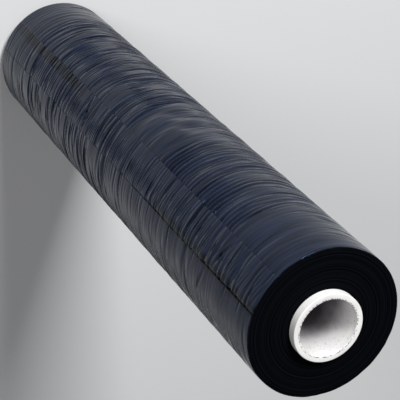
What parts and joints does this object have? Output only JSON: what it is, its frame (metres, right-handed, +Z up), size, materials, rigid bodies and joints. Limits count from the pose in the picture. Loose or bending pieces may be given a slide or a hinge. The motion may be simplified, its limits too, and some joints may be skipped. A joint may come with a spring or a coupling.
{
  "type": "stretch wrap roll",
  "caption": "Hand roll of black stretch wrap film wound on a white paper core that stands out at both ends, standing upright on its core.",
  "frame": {"origin": "middle of the core's lower end, on the surface that the roll stands on", "axes": "+Z up along the core, -Y towards the side with the free end of the film, +X to its right seen from there"},
  "size_m": [0.106, 0.106, 0.512],
  "materials": {
    "core_paper": "smooth white paper face on spirally wound paper board",
    "black_film": "glossy black cling film with fine wrinkles round the roll"
  },
  "bodies": {
    "root": {"core_tube": "core_paper", "film_roll": "black_film"}
  },
  "joints": []
}
